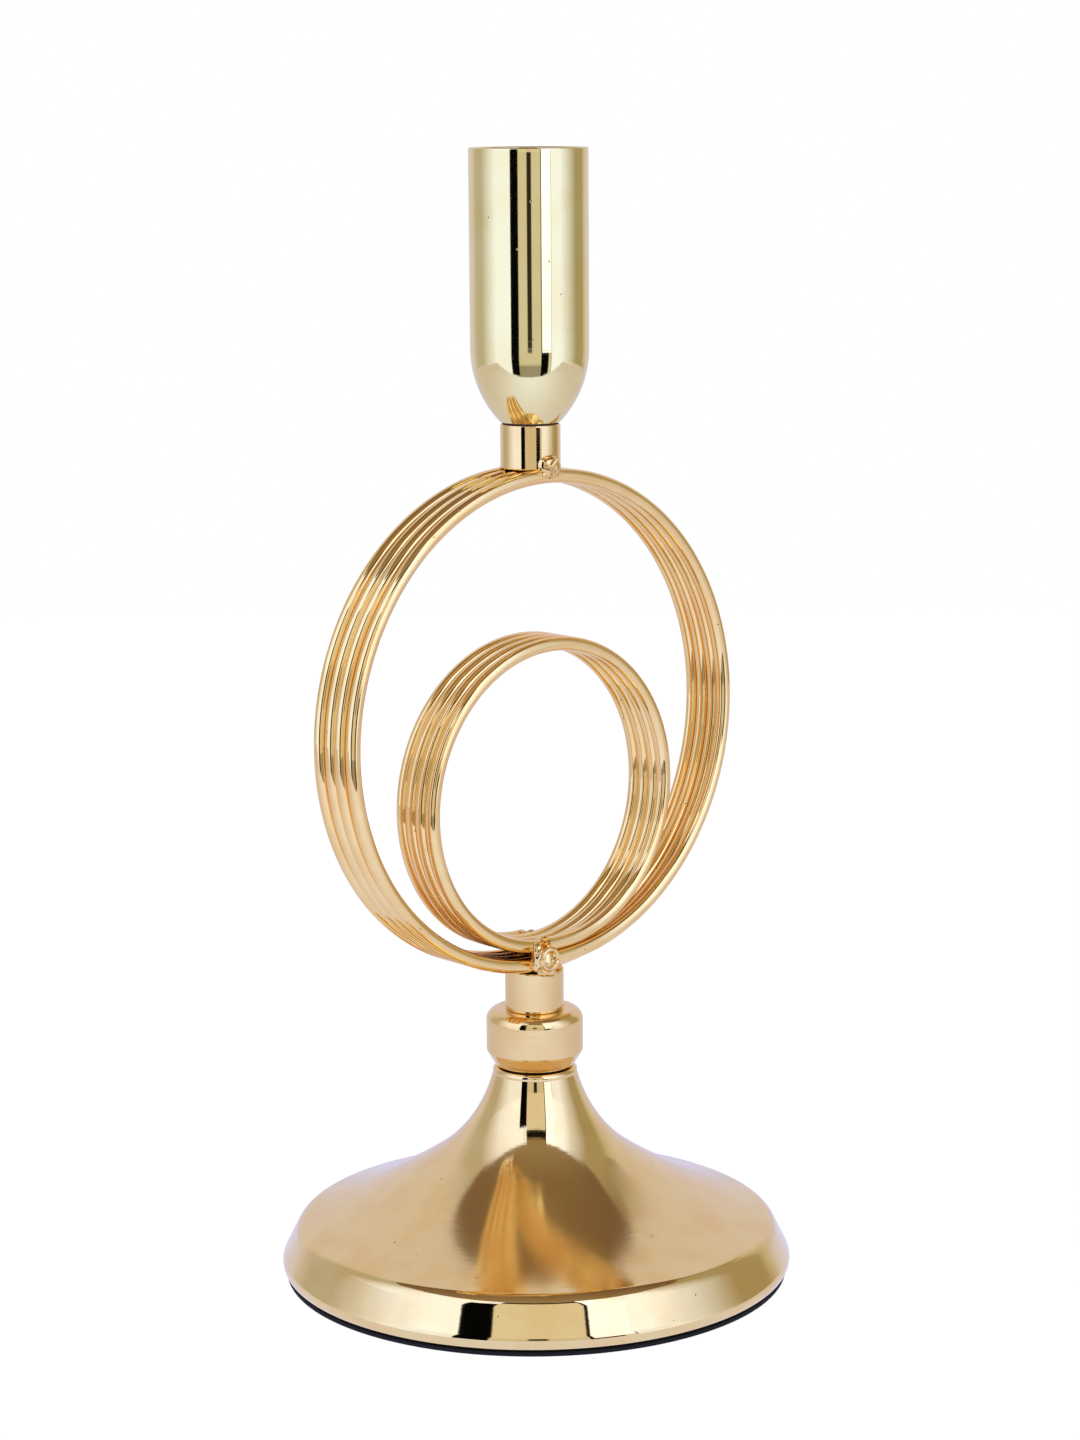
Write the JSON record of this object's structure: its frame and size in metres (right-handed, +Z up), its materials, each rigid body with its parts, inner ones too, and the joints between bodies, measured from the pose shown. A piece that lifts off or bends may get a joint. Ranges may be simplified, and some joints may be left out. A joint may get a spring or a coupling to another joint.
{
  "type": "spiral candle holder",
  "caption": "Gold-plated taper candle holder: a straight cup on a stem of nested wound wire hoops, over a trumpet-flared spun base with a bevelled rim and a soft pad.",
  "frame": {"origin": "middle of the pad's underside, on the stem's axis", "axes": "+Z up the stem to the candle cup; Y along the coils' common axis, with the seen welds on the -Y side; X across the hoops"},
  "size_m": [0.105, 0.105, 0.2293],
  "materials": {
    "cup_gold": "polished pale gold plating on iron",
    "stem_gold": "bright rose gold plating on drawn iron",
    "base_gold": "bright to satin gold plating on spun iron sheet",
    "zinc_steel": "zinc plated",
    "fibre": "dark vulcanised fibre",
    "pad_foam": "black closed-cell foam"
  },
  "bodies": {
    "base": {"base_shell": "base_gold", "base_pad": "pad_foam", "base_stud": "zinc_steel", "base_upper_nut": "zinc_steel", "base_washer": "zinc_steel", "base_spring_washer": "zinc_steel", "base_lower_nut": "zinc_steel"},
    "stem_seat": {"stem_washer": "fibre"},
    "stem": {"collar": "stem_gold", "lower_post": "stem_gold", "bottom_front_weld": "stem_gold", "bottom_rear_weld": "stem_gold", "large_coil": "stem_gold", "small_coil": "stem_gold", "top_front_weld": "stem_gold", "top_rear_weld": "stem_gold", "upper_post": "stem_gold", "cup_stud": "zinc_steel"},
    "cup_seat": {"cup_washer": "fibre"},
    "cup": {"candle_cup": "cup_gold", "cup_bush": "cup_gold"}
  },
  "joints": [
    {"name": "stem_rise", "type": "slide", "parent": "base", "child": "stem_seat", "axis": [0, 0, 1], "range_m": [0, 0.005]},
    {"name": "stem_turn", "type": "hinge", "parent": "stem_seat", "child": "stem", "pos_m": [0, 0, 0.0438], "axis": [0, 0, 1], "range_deg": [0, 1800]},
    {"name": "cup_rise", "type": "slide", "parent": "stem", "child": "cup_seat", "axis": [0, 0, 1], "range_m": [0, 0.005]},
    {"name": "cup_turn", "type": "hinge", "parent": "cup_seat", "child": "cup", "pos_m": [0, 0, 0.1756], "axis": [0, 0, 1], "range_deg": [0, 1800]}
  ],
  "couplings": [
    {"joint": "stem_rise", "follows": "stem_turn", "m_per_rad": 0.00015915},
    {"joint": "cup_rise", "follows": "cup_turn", "m_per_rad": 0.00015915}
  ]
}
